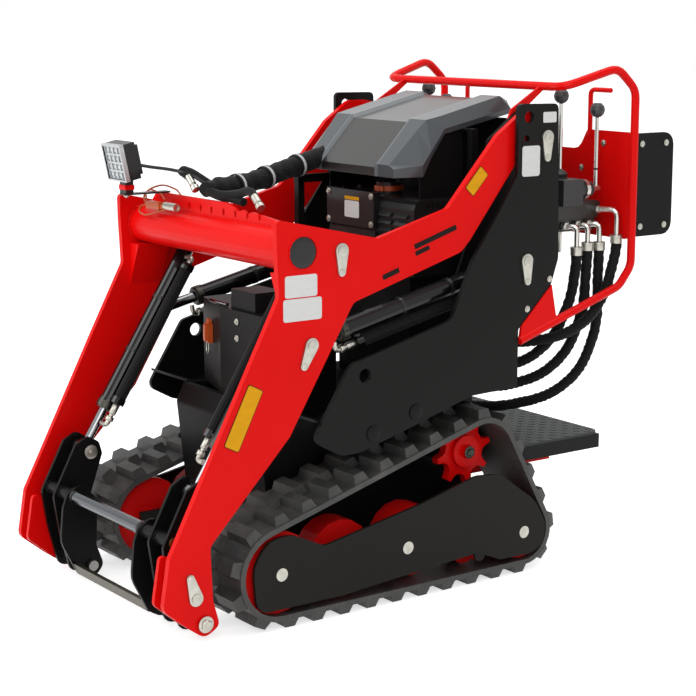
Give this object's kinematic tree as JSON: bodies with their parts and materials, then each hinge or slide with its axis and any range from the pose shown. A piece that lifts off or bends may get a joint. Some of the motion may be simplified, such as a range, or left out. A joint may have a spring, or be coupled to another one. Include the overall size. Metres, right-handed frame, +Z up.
{
  "type": "mini skid steer loader",
  "caption": "Small rubber-tracked loader with bent lift arms, quick-attach coupler, hydraulic cylinders and a rear stand-on platform.",
  "frame": {"origin": "ground level, in the middle of the machine's overall width and length", "axes": "+Z up, -Y towards the front coupler, +X towards the machine's left side"},
  "size_m": [0.736, 1.4171, 1.1778],
  "materials": {
    "red_paint": "glossy red machine paint",
    "black_paint": "satin black powder coat",
    "rubber": "moulded black rubber",
    "grey_plastic": "dark grey moulded hood",
    "hose_sleeve": "woven black hose sleeve",
    "chrome": "hard chromed cylinder rods",
    "deck_steel": "worn grey chequer plate"
  },
  "bodies": {
    "chassis": {"belly_tub": "black_paint", "nose_box": "black_paint", "rear_plate": "black_paint", "hood_frame": "black_paint", "engine_block": "black_paint", "engine_shroud": "black_paint", "hood": "grey_plastic", "guard_frame": "red_paint", "control_panel": "red_paint", "platform_deck": "deck_steel", "platform_base": "deck_steel", "side_plate_left": "black_paint", "tower_left": "black_paint", "fender_left": "black_paint", "wing_panel_left": "black_paint", "valve_left": "black_paint", "track_left": "rubber", "track_frame_left": "black_paint", "sprocket_left": "red_paint", "side_plate_right": "black_paint", "tower_right": "black_paint", "fender_right": "black_paint", "wing_panel_right": "black_paint", "valve_right": "black_paint", "track_right": "rubber", "track_frame_right": "black_paint", "sprocket_right": "red_paint", "rear_hose_1_left": "hose_sleeve", "rear_hose_2_left": "hose_sleeve", "rear_hose_3_left": "hose_sleeve", "rear_hose_4_left": "hose_sleeve", "rear_hose_1_right": "hose_sleeve", "rear_hose_2_right": "hose_sleeve"},
    "lift_arm": {"cross_tube": "red_paint", "lift_arm_left": "red_paint", "lift_arm_right": "red_paint", "work_lamp": "black_paint", "main_hose": "hose_sleeve"},
    "coupler": {"coupler": "black_paint"},
    "lift_barrel_left": {"lift_barrel_left": "black_paint", "lift_hose_left": "hose_sleeve"},
    "lift_rod_left": {"lift_rod_left": "chrome"},
    "tilt_barrel_left": {"tilt_barrel_left": "black_paint", "tilt_hose_left": "hose_sleeve"},
    "tilt_rod_left": {"tilt_rod_left": "chrome"},
    "lift_barrel_right": {"lift_barrel_right": "black_paint", "lift_hose_right": "hose_sleeve"},
    "lift_rod_right": {"lift_rod_right": "chrome"},
    "tilt_barrel_right": {"tilt_barrel_right": "black_paint", "tilt_hose_right": "hose_sleeve"},
    "tilt_rod_right": {"tilt_rod_right": "chrome"}
  },
  "joints": [
    {"name": "arm_lift", "type": "hinge", "parent": "chassis", "child": "lift_arm", "pos_m": [0, 0.3025, 1.021], "axis": [-1, 0, 0], "range_deg": [0, 80]},
    {"name": "coupler_tilt", "type": "hinge", "parent": "lift_arm", "child": "coupler", "pos_m": [0, -0.6115, 0.044], "axis": [1, 0, 0], "range_deg": [-10, 85]},
    {"name": "lift_barrel_swing_left", "type": "hinge", "parent": "chassis", "child": "lift_barrel_left", "pos_m": [0.2995, 0.2495, 0.732], "axis": [-1, 0, 0], "range_deg": [0, 75.2]},
    {"name": "lift_rod_slide_left", "type": "slide", "parent": "lift_barrel_left", "child": "lift_rod_left", "axis": [0, -0.9749, -0.2227], "range_m": [0, 0.372]},
    {"name": "tilt_barrel_swing_left", "type": "hinge", "parent": "lift_arm", "child": "tilt_barrel_left", "pos_m": [0.25, -0.2625, 0.793], "axis": [1, 0, 0], "range_deg": [-11.6, 1.4]},
    {"name": "tilt_rod_slide_left", "type": "slide", "parent": "tilt_barrel_left", "child": "tilt_rod_left", "axis": [0, -0.5393, -0.8421], "range_m": [-0.04, 0.332]},
    {"name": "lift_barrel_swing_right", "type": "hinge", "parent": "chassis", "child": "lift_barrel_right", "pos_m": [-0.2995, 0.2495, 0.732], "axis": [-1, 0, 0], "range_deg": [0, 75.2]},
    {"name": "lift_rod_slide_right", "type": "slide", "parent": "lift_barrel_right", "child": "lift_rod_right", "axis": [0, -0.9749, -0.2227], "range_m": [0, 0.372]},
    {"name": "tilt_barrel_swing_right", "type": "hinge", "parent": "lift_arm", "child": "tilt_barrel_right", "pos_m": [-0.25, -0.2625, 0.793], "axis": [1, 0, 0], "range_deg": [-11.6, 1.4]},
    {"name": "tilt_rod_slide_right", "type": "slide", "parent": "tilt_barrel_right", "child": "tilt_rod_right", "axis": [0, -0.5393, -0.8421], "range_m": [-0.04, 0.332]}
  ],
  "couplings": [
    {"joint": "lift_barrel_swing_left", "follows": "arm_lift", "ratio": 0.94},
    {"joint": "lift_rod_slide_left", "follows": "arm_lift", "m_per_rad": 0.265},
    {"joint": "tilt_barrel_swing_left", "follows": "coupler_tilt", "ratio": -0.135},
    {"joint": "tilt_rod_slide_left", "follows": "coupler_tilt", "m_per_rad": 0.2224},
    {"joint": "lift_barrel_swing_right", "follows": "arm_lift", "ratio": 0.94},
    {"joint": "lift_rod_slide_right", "follows": "arm_lift", "m_per_rad": 0.265},
    {"joint": "tilt_barrel_swing_right", "follows": "coupler_tilt", "ratio": -0.135},
    {"joint": "tilt_rod_slide_right", "follows": "coupler_tilt", "m_per_rad": 0.2224}
  ]
}
